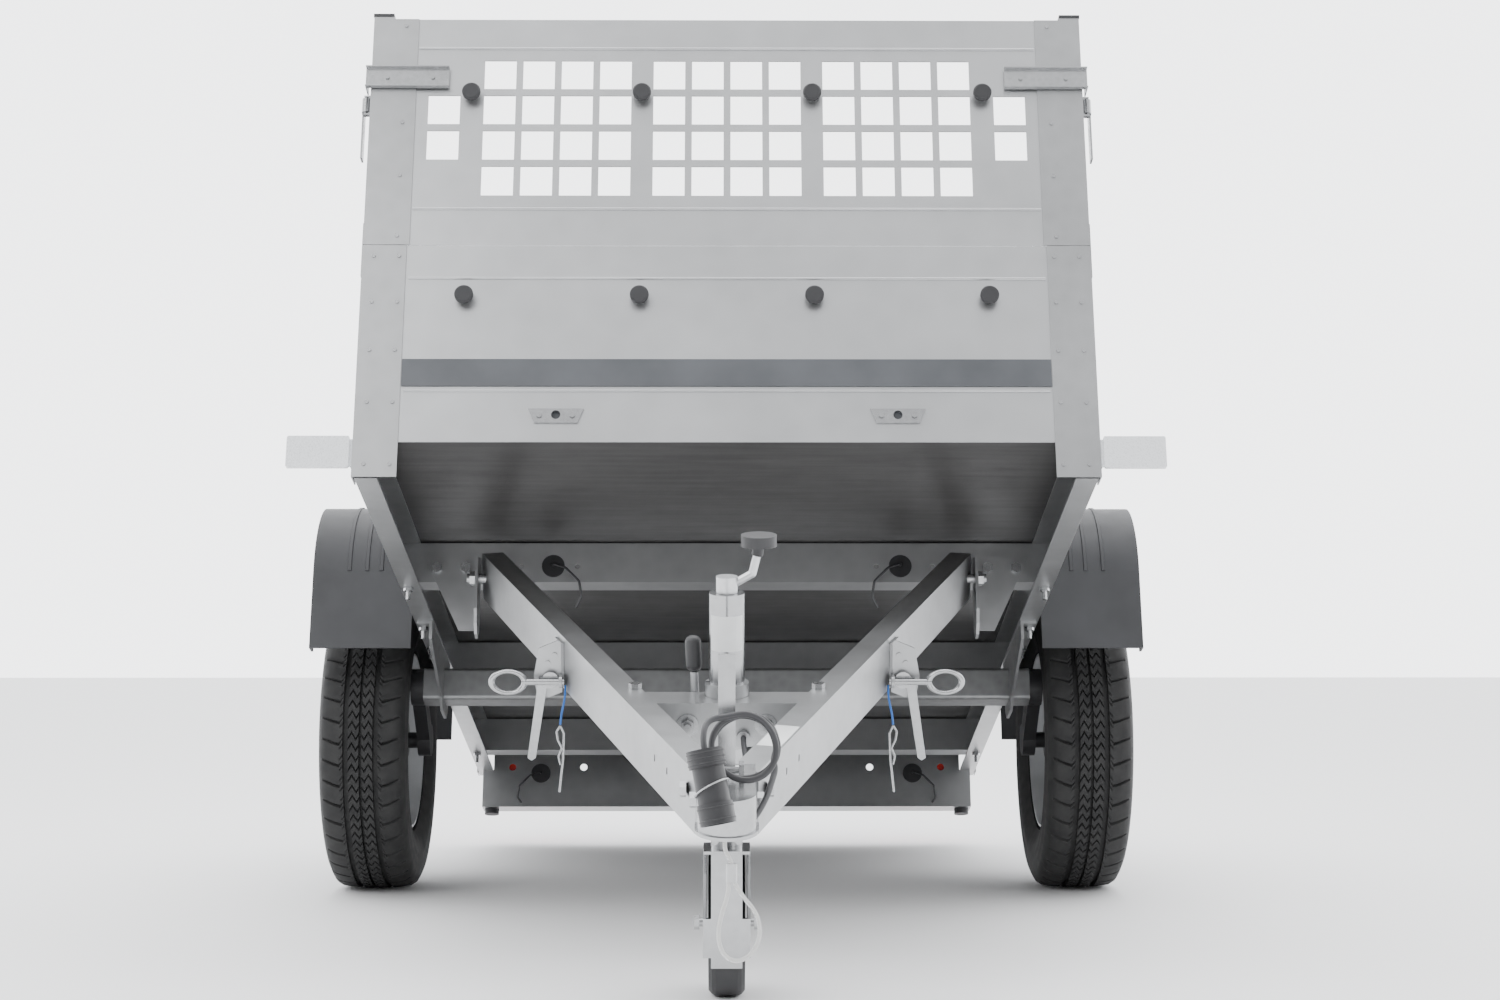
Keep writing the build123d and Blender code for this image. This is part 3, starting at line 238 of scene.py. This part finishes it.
def braid(name, low, high, scale):
    """Braided cord."""
    shader = Shader(name, roughness=0.8, Sheen_Weight=0.3)
    wave = shader.tree.nodes.new("ShaderNodeTexWave")
    wave.bands_direction = "DIAGONAL"
    wave.inputs["Scale"].default_value = scale
    wave.inputs["Distortion"].default_value = 1.5
    shader.link(shader.coords, wave.inputs["Vector"])
    shader.colour(shader.ramp(wave.outputs["Fac"], low, high))
    shader.vary(shader.noise(90.0), 0.7, 0.9)
    shader.bump(wave.outputs["Fac"], 0.5, 0.0005)
    return shader.material


def make_materials():
    black = (0.022, 0.022, 0.024)
    return {
        "zinc_sheet": zinc("zinc_sheet", 0.46, 0.54, 0.3, 0.42),
        "zinc_profile": zinc("zinc_profile", 0.36, 0.44, 0.32, 0.42, 40.0),
        "axle_zinc": zinc("axle_zinc", 0.26, 0.4, 0.4, 0.55, 60.0),
        "bright_zinc": zinc("bright_zinc", 0.36, 0.48, 0.2, 0.3, 120.0),
        "jockey_zinc": zinc("jockey_zinc", 0.36, 0.46, 0.12, 0.22, 90.0),
        "crank_steel": zinc("crank_steel", 0.5, 0.66, 0.28, 0.4, 120.0),
        "plywood": plywood(),
        "guard_plastic": moulded("guard_plastic", (0.035, 0.036, 0.039), 0.55, 1200.0),
        "tyre_rubber": tyre_rubber(),
        "rim_steel": moulded("rim_steel", (0.42, 0.43, 0.44), 0.34, 500.0, 0.06),
        "hub_black": moulded("hub_black", black, 0.4, 300.0, 0.1),
        "knob_rubber": moulded("knob_rubber", black, 0.62),
        "cap_plastic": moulded("cap_plastic", black, 0.5),
        "reflector_white": lens("reflector_white", (0.78, 0.8, 0.82)),
        "lamp_red": lens("lamp_red", (0.5, 0.02, 0.015)),
        "cable_jacket": moulded("cable_jacket", (0.03, 0.03, 0.033), 0.45, 500.0, 0.1),
        "plug_plastic": moulded("plug_plastic", (0.025, 0.025, 0.027), 0.4, 700.0, 0.15),
        "safety_rope": braid("safety_rope", (0.42, 0.42, 0.41), (0.7, 0.7, 0.69), 260.0),
        "ferrule_metal": zinc("ferrule_metal", 0.5, 0.62, 0.3, 0.45, 200.0),
        "string_blue": braid("string_blue", (0.004, 0.06, 0.3), (0.015, 0.18, 0.6), 420.0),
        "jockey_rubber": moulded("jockey_rubber", (0.03, 0.03, 0.032), 0.6, 600.0),
        # band_film also colours the painted shade plates behind the striker holes
        "band_film": moulded("band_film", (0.075, 0.08, 0.088), 0.38, 300.0, 0.04),
        "label_white": moulded("label_white", (0.68, 0.69, 0.69), 0.42, 300.0, 0.03),
        "grip_black": moulded("grip_black", (0.03, 0.03, 0.032), 0.45),
    }


KNOB_BOTTOM = 226.5         # above the drawbar's mid-height, millimetres
GRIP_BOTTOM = 62.5


def dress_nodes(materials):
    """Gives every CAD node the material of its record slot."""
    slots = {part["node"]: part["material_slot"] for part in record["subparts"]}
    for name, obj in nodes.items():
        obj.data.materials.clear()
        obj.data.materials.append(materials[slots[name]])
        for polygon in obj.data.polygons:
            polygon.material_index = 0
    for side, _ in SIDES:
        nodes["torsion_arm_" + side].data.materials[0] = materials["hub_black"]
    dress_above("crank", KNOB_BOTTOM, materials["grip_black"])
    dress_above("clamp_screw", GRIP_BOTTOM, materials["grip_black"])


def dress_above(name, height, material):
    """Second material on the faces above a height in the drawbar's frame: a knob or grip."""
    obj = nodes[name]
    obj.data.materials.append(material)
    to_bar = BAR.inverted()
    for polygon in obj.data.polygons:
        if (to_bar @ polygon.center).z > height * MM:
            polygon.material_index = 1


# ---- mesh helpers -------------------------------------------------------------------
def new_mesh(name, vertices, faces, material, body, smooth=True):
    """Mesh object that rides on a body."""
    mesh = bpy.data.meshes.new(name)
    mesh.from_pydata(vertices, [], faces)
    mesh.validate()
    build = bmesh.new()
    build.from_mesh(mesh)
    bmesh.ops.recalc_face_normals(build, faces=build.faces)
    build.to_mesh(mesh)
    build.free()
    mesh.materials.append(material)
    for polygon in mesh.polygons:
        polygon.use_smooth = smooth
    obj = bpy.data.objects.new(name, mesh)
    bpy.context.scene.collection.objects.link(obj)
    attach(obj, body)
    return obj


def bevel(obj, width, segments=2):
    modifier = obj.modifiers.new("bevel", "BEVEL")
    modifier.width = width
    modifier.segments = segments
    modifier.limit_method = "ANGLE"


def slab(name, matrix, low, high, material, body, round_by=0.0003):
    """Thin bevelled box given by two corners in a frame, millimetres."""
    corners = [
        matrix @ (Vector((x, y, z)) * MM)
        for x in (low[0], high[0])
        for y in (low[1], high[1])
        for z in (low[2], high[2])
    ]
    faces = [(0, 1, 3, 2), (4, 6, 7, 5), (0, 4, 5, 1), (2, 3, 7, 6), (0, 2, 6, 4), (1, 5, 7, 3)]
    obj = new_mesh(name, corners, faces, material, body, smooth=False)
    bevel(obj, round_by)
    return obj


# ---- tyres --------------------------------------------------------------------------
GROOVES = ((-27.0, 4.0), (0.0, 1.8), (27.0, 4.0))     # place across the tread, half width
GROOVE_DEPTH = 7.0
LIP = 0.8
TREAD_HALF = 62.0
CROWN_DROP = 4.0            # of the tread's edge below its middle
BLOCK_EDGE = 32.0           # from the middle to the shoulder blocks
BLOCK_GAP_DEPTH = 5.0
SIPE_DEPTH = 3.5
TREAD_STEPS = 540
SIPE_EVERY = 6
ZIGZAG_PITCH = 15.0
ZIGZAG = 4.0                # sideways swing of the sipes, in steps round the tyre


def tread_columns():
    """Across-the-tread positions: shoulders, zigzag corners and both lips of every groove."""
    columns = {-TREAD_HALF, TREAD_HALF, -50.0, 50.0, -38.0, 38.0, -15.0, 15.0, -7.5, 7.5, -22.0, 22.0}
    for groove, half in GROOVES:
        columns |= {groove - half - LIP, groove - half, groove + half, groove + half + LIP}
    return sorted(columns)


def tyre_section():
    """(x, radius, tread?) from one bead to the other."""
    side = [(64, 172), (68, 182), (76, 200), (79, 214), (79.8, 220), (78.6, 224), (80, 229), (79.4, 240)]
    side += [(77.5, 250), (78, 254), (74, 263), (70, 270)]
    section = [(-x, radius, False) for x, radius in side]
    section += [(x, TYRE_RADIUS, True) for x in tread_columns()]
    return section + [(x, radius, False) for x, radius in reversed(side)]


def tread_drop(x, step):
    """Depth of the pattern at a place on the tread."""
    crown = CROWN_DROP * (abs(x) / TREAD_HALF) ** 3
    if any(abs(x - groove) <= half for groove, half in GROOVES):
        return crown + GROOVE_DEPTH
    if abs(x) > BLOCK_EDGE and step % (2 * SIPE_EVERY) == 0:
        return crown + BLOCK_GAP_DEPTH
    if abs(x) < BLOCK_EDGE and step % SIPE_EVERY == SIPE_EVERY // 2:
        return crown + SIPE_DEPTH
    return crown


def zigzag(x):
    """Swing of a sipe at a place across the tread, in steps."""
    phase = abs(x) / ZIGZAG_PITCH % 1.0
    return ZIGZAG * (1 - abs(2 * phase - 1))


def make_tyre(side, sign, material):
    """Tyre with grooves, shoulder blocks and zigzag sipes."""
    centre = joint_at("wheel_spin_" + side)
    section = tyre_section()
    vertices = []
    for step in range(TREAD_STEPS):
        for x, radius, tread in section:
            shift = 0.0
            if tread:
                radius -= tread_drop(x, step)
                shift = zigzag(x)
            turn = 2 * math.pi * (step + shift) / TREAD_STEPS
            point = Vector((sign * x, radius * math.cos(turn), radius * math.sin(turn))) * MM
            vertices.append(centre + point)
    across = len(section)
    faces = []
    for step in range(TREAD_STEPS):
        here = step * across
        ahead = (step + 1) % TREAD_STEPS * across
        for i in range(across):
            j = (i + 1) % across
            faces.append((here + i, here + j, ahead + j, ahead + i))
    tyre = new_mesh("road_tyre_" + side, vertices, faces, material, "wheel_" + side)
    edges = tyre.modifiers.new("edges", "EDGE_SPLIT")
    edges.split_angle = math.radians(38)
    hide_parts("tyre_" + side)


# ---- flat details -------------------------------------------------------------------
def make_front_band(material):
    """Plain dark band across the lower front panel, and a dark plate behind each striker hole: painted
    shade standing in for the shade seen inside the hole.
    """
    band = slab("front_band", BED, (-495, -2.6, 146), (495, -0.4, 190), material, "bed")
    for side, sign in SIDES:
        low_x, high_x = sorted((sign * 215, sign * 275))
        # painted shade: a dark plate behind the striker hole stands in for the shade inside it
        back = slab("striker_hole_shade_" + side, BED, (low_x, 4.5, 88), (high_x, 6.5, 124), material, "bed")


LABEL_RADIUS = 24.02        # 0.02 mm proud of the jockey tube
LABEL_STEPS = 24
LABEL_START = -150
LABEL_SWEEP = 120
LABEL_ENDS = (100, 148)


def make_labels(material):
    """Blank sleeve on the jockey tube and blank tag on the right arm."""
    vertices = []
    faces = []
    for i in range(LABEL_STEPS + 1):
        turn = math.radians(LABEL_START + LABEL_SWEEP * i / LABEL_STEPS)
        for z in LABEL_ENDS:
            x = LABEL_RADIUS * math.cos(turn)
            y = -JOCKEY_AHEAD + LABEL_RADIUS * math.sin(turn)
            vertices.append(on_bar(x, y, z))
        if i:
            faces.append((2 * i - 2, 2 * i, 2 * i + 1, 2 * i - 1))
    label = new_mesh("tube_label", vertices, faces, material, "jockey_outer_tube")
    tag = slab("arm_tag", RIGHT_ARM, (-34, -1200, 39.1), (-3, -1105, 39.4), material, "drawbar", 0.0001)


# ---- mudguard ribs ------------------------------------------------------------------
GUARD_FRONT = 795.0
GUARD_REAR = 1505.0
GUARD_TOP = 265.0
GUARD_SHOULDER = 165.0
RIB_PLACES = (626.0, 652.0, 684.0)
RIB_PROFILE = ((-4.0, -0.5), (-2.6, 2.4), (2.6, 2.4), (4.0, -0.5))
SHOULDER_STEPS = 12


def arch_line():
    """Centre and angle of each step over a mudguard's front shoulder, roof and rear shoulder."""
    front = GUARD_FRONT + GUARD_SHOULDER
    rear = GUARD_REAR - GUARD_SHOULDER
    quarter = [math.pi / 2 * i / SHOULDER_STEPS for i in range(SHOULDER_STEPS + 1)]
    line = [(front, math.pi - turn) for turn in quarter]
    return line + [(rear, math.pi / 2 - turn) for turn in quarter]


def make_rib(name, sign, place, material):
    """One raised rib over a mudguard."""
    vertices = []
    faces = []
    height = GUARD_TOP - GUARD_SHOULDER
    for step, (along, turn) in enumerate(arch_line()):
        for across, proud in RIB_PROFILE:
            reach = GUARD_SHOULDER + proud
            y = along + reach * math.cos(turn)
            vertices.append(on_bed(sign * (place + across), y, height + reach * math.sin(turn)))
        if step:
            here = step * 4
            for i in range(4):
                j = (i + 1) % 4
                faces.append((here - 4 + i, here - 4 + j, here + j, here + i))
    last = len(vertices)
    faces += [(0, 1, 2, 3), (last - 4, last - 3, last - 2, last - 1)]
    rib = new_mesh(name, vertices, faces, material, "bed")
    rib.modifiers.new("edges", "EDGE_SPLIT").split_angle = math.radians(40)


def make_ribs(material):
    """Raised ribs over both mudguards."""
    for side, sign in SIDES:
        for number, place in enumerate(RIB_PLACES, 1):
            make_rib(f"guard_rib_{side}_{number}", sign, place, material)


# ---- plug ---------------------------------------------------------------------------
RING_AROUND = 48
RING_SECTION = 10
PLUG_RINGS = ((4, 21.5), (10, 21.5), (16, 21.5), (66, 20.5), (80, 20.5))   # along the plug, radius
RING_WIRE = 0.9
BAIL_ALONG = 44
BAIL_RADIUS = 21.6
BAIL_WIRE = 1.1


def torus(name, centre, axis, radius, thickness, material, body):
    """Round ring about an axis."""
    turn = axis.to_track_quat("Z", "Y").to_matrix()
    vertices = []
    faces = []
    for i in range(RING_AROUND):
        a = 2 * math.pi * i / RING_AROUND
        here = i * RING_SECTION
        ahead = (i + 1) % RING_AROUND * RING_SECTION
        for j in range(RING_SECTION):
            b = 2 * math.pi * j / RING_SECTION
            reach = radius + thickness * math.cos(b)
            local = Vector((reach * math.cos(a), reach * math.sin(a), thickness * math.sin(b)))
            vertices.append(centre + turn @ (local * MM))
            m = (j + 1) % RING_SECTION
            faces.append((here + j, ahead + j, ahead + m, here + m))
    return new_mesh(name, vertices, faces, material, body)


def make_plug_details(plastic, wire):
    """Collar rings and the wire bail of the plug's lid."""
    top = Vector((-25.0, HINGE.y / MM - 1417.8, HINGE.z / MM - 207.0))
    foot = Vector((-9.0, HINGE.y / MM - 1428.8, HINGE.z / MM - 291.0))
    axis = (foot - top).normalized()
    for number, (along, radius) in enumerate(PLUG_RINGS, 1):
        centre = (top + axis * along) * MM
        ring = torus(f"plug_ring_{number}", centre, axis, radius, RING_WIRE, plastic, "drawbar")
    tilted = (axis + Vector((0.35, -0.15, 0.0))).normalized()
    middle = (top + axis * BAIL_ALONG) * MM
    bail = torus("plug_bail", middle, tilted, BAIL_RADIUS, BAIL_WIRE, wire, "drawbar")


# ---- cords --------------------------------------------------------------------------
CABLE_RADIUS = 0.00375      # these three in metres
SAFETY_RADIUS = 0.0024
STRING_RADIUS = 0.0015
COIL_RADIUS = 38.0
COIL_START = math.radians(-25)
COIL_END = math.radians(116 + 720)
COIL_POINTS = 34
COIL_WAVER = 1.6            # of the loose turns, in and out
COIL_WAVES = 2.3
COIL_SPREAD = 20            # along the trailer from the first turn to the last


def cord_curve(name, points, radius, material, body):
    """Round cord on a NURBS spline with its route as control points."""
    curve = bpy.data.curves.new(name, "CURVE")
    curve.dimensions = "3D"
    curve.bevel_depth = radius
    curve.bevel_resolution = 6
    curve.use_fill_caps = True
    curve.resolution_u = 10
    spline = curve.splines.new("NURBS")
    spline.points.add(len(points) - 1)
    for control, point in zip(spline.points, points):
        control.co = (*point, 1)
    spline.order_u = 3
    spline.use_endpoint_u = True
    curve.materials.append(material)
    obj = bpy.data.objects.new(name, curve)
    bpy.context.scene.collection.objects.link(obj)
    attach(obj, body)
    return obj


def make_plug_cable(material):
    """Trailer cable from its gland through loose turns at the coupling to the plug."""
    gland = on_bar(22, -JOCKEY_AHEAD - 55.05, -10) / MM
    gy = gland.y
    gz = gland.z
    coil_y = HINGE.y / MM - 1374.8
    coil_z = HINGE.z / MM - 207.0
    route = [
        (gland.x, gy, gz),
        (gland.x, gy - 30, gz - 6.9),
        (26, gy - 78, gz - 30),
        (29, gy - 132, gz - 54),
        (26, gy - 188, gz - 68),
        (24, gy - 244, gz - 78),
        (26, gy - 298, gz - 84),
        (33, gy - 340, gz - 77),
        (46, gy - 374, gz - 52),
        (53, coil_y + 45, coil_z - 40),
        (56, coil_y + 18, coil_z - 26),
    ]
    for i in range(COIL_POINTS):
        part = i / (COIL_POINTS - 1)
        turn = COIL_START + part * (COIL_END - COIL_START)
        radius = COIL_RADIUS + COIL_WAVER * math.sin(COIL_WAVES * turn)
        x = 20 + radius * math.cos(turn)
        z = coil_z + radius * math.sin(turn)
        route.append((x, coil_y + 12 - COIL_SPREAD * part, z))
    route += [
        (-22, coil_y - 16, coil_z + 33),
        (-28, coil_y - 38, coil_z + 14),
        (-25, coil_y - 43, coil_z),
    ]
    points = [Vector(p) * MM for p in route]
    cable = cord_curve("trailer_cable", points, CABLE_RADIUS, material, "drawbar")
    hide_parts("plug_cable", "plug_cable_coil")


def make_safety_cable(material):
    """Breakaway cable: lead, ferrule and hanging loop."""
    start = on_bar(-2, -COUPLING_AHEAD - 31, 9.9) / MM
    low = -47.1
    offsets = [
        (0, 0, 0), (-1, -1, -9), (4, -3, -18), (7.5, -3, -26.1), (6, -3, -36), (4.4, -3, low),
        (3.4, -3, low - 14), (-4, -3, low - 36), (-8.5, -3, low - 60), (-3, -3, low - 82),
        (14, -3, low - 91), (32, -3, low - 80), (41, -3, low - 58), (36, -3, low - 34),
        (19, -3, low - 15), (10.6, -3, low),
    ]
    points = [(start + Vector(offset)) * MM for offset in offsets]
    cable = cord_curve("breakaway_cable", points, SAFETY_RADIUS, material, "drawbar")
    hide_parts("safety_cable")


def make_clip_strings(material):
    """Blue strings from the locking pins to their spring clips."""
    hang = on_bar(236, -LATCH_AHEAD - 20, -28.6) / MM
    y = hang.y
    z = hang.z
    for side, sign in SIDES:
        route = [
            (236.5, y, z - 0.2),
            (236.3, y - 1, z - 12),
            (238.5, y - 2, z - 28),
            (242.5, y - 1, z - 44),
            (243.5, y, z - 58),
        ]
        points = [Vector((sign * px, py, pz)) * MM for px, py, pz in route]
        string = cord_curve("clip_string_" + side, points, STRING_RADIUS, material, "drawbar")
        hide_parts("clip_strings")


# ---- studio -------------------------------------------------------------------------
FLOOR_CORNERS = ((-12, -9, 0), (12, -9, 0), (12, 14, 0), (-12, 14, 0))
FLOOR_GREY = 0.86
SKY_COLOUR = (0.97, 0.98, 1.0, 1)
SKY_FRONT = (0.3, 1.7)      # strength from low to high, ahead of the object
SKY_BACK = 4.2              # strength behind it
LIGHT_AIM = (0, 0, 0.6)
LIGHTS = (
    ("key", (-2.6, -3.6, 3.4), 2.0, 60),     # name, place, size in metres, watts
    ("fill", (3.2, -3.2, 2.2), 1.6, 22),
    ("top", (0, 0.4, 3.6), 3.0, 60),
)


def ranged(tree, source, given, wanted):
    """Maps a value from one range to another."""
    node = tree.nodes.new("ShaderNodeMapRange")
    node.inputs["From Min"].default_value = given[0]
    node.inputs["From Max"].default_value = given[1]
    node.inputs["To Min"].default_value = wanted[0]
    node.inputs["To Max"].default_value = wanted[1]
    tree.links.new(source, node.inputs["Value"])
    return node.outputs["Result"]


def make_studio():
    """Pale floor, three lamps, and a sky that is brighter behind the object than ahead of it."""
    mesh = bpy.data.meshes.new("studio_floor")
    mesh.from_pydata(FLOOR_CORNERS, [], [(0, 1, 2, 3)])
    floor = bpy.data.objects.new("studio_floor", mesh)
    bpy.context.scene.collection.objects.link(floor)
    shader = Shader("studio_floor", roughness=0.9)
    shader.surface.inputs["Base Color"].default_value = (*grey(FLOOR_GREY), 1)
    mesh.materials.append(shader.material)
    world = bpy.data.worlds.new("studio")
    world.use_nodes = True
    tree = world.node_tree
    background = tree.nodes["Background"]
    background.inputs["Color"].default_value = SKY_COLOUR
    coords = tree.nodes.new("ShaderNodeTexCoord")
    split = tree.nodes.new("ShaderNodeSeparateXYZ")
    tree.links.new(coords.outputs["Generated"], split.inputs["Vector"])
    low_to_high = ranged(tree, split.outputs["Z"], (-0.15, 0.85), SKY_FRONT)
    front_to_back = ranged(tree, split.outputs["Y"], (-0.5, 0.5), (0.0, 1.0))
    blend = tree.nodes.new("ShaderNodeMix")
    blend.inputs["B"].default_value = SKY_BACK
    tree.links.new(front_to_back, blend.inputs["Factor"])
    tree.links.new(low_to_high, blend.inputs["A"])
    tree.links.new(blend.outputs["Result"], background.inputs["Strength"])
    bpy.context.scene.world = world
    for name, at, size, power in LIGHTS:
        data = bpy.data.lights.new(name, "AREA")
        data.size = size
        data.energy = power
        light = bpy.data.objects.new(name, data)
        light.location = at
        aim = Vector(LIGHT_AIM) - Vector(at)
        light.rotation_euler = aim.to_track_quat("-Z", "Y").to_euler()
        bpy.context.scene.collection.objects.link(light)


make_camera()
looks = make_materials()
make_plug_cable(looks["cable_jacket"])
make_safety_cable(looks["safety_rope"])
make_clip_strings(looks["string_blue"])
dress_nodes(looks)
for side, sign in SIDES:
    make_tyre(side, sign, looks["tyre_rubber"])
make_front_band(looks["band_film"])
make_labels(looks["label_white"])
make_ribs(looks["guard_plastic"])
make_plug_details(looks["plug_plastic"], looks["bright_zinc"])
make_studio()
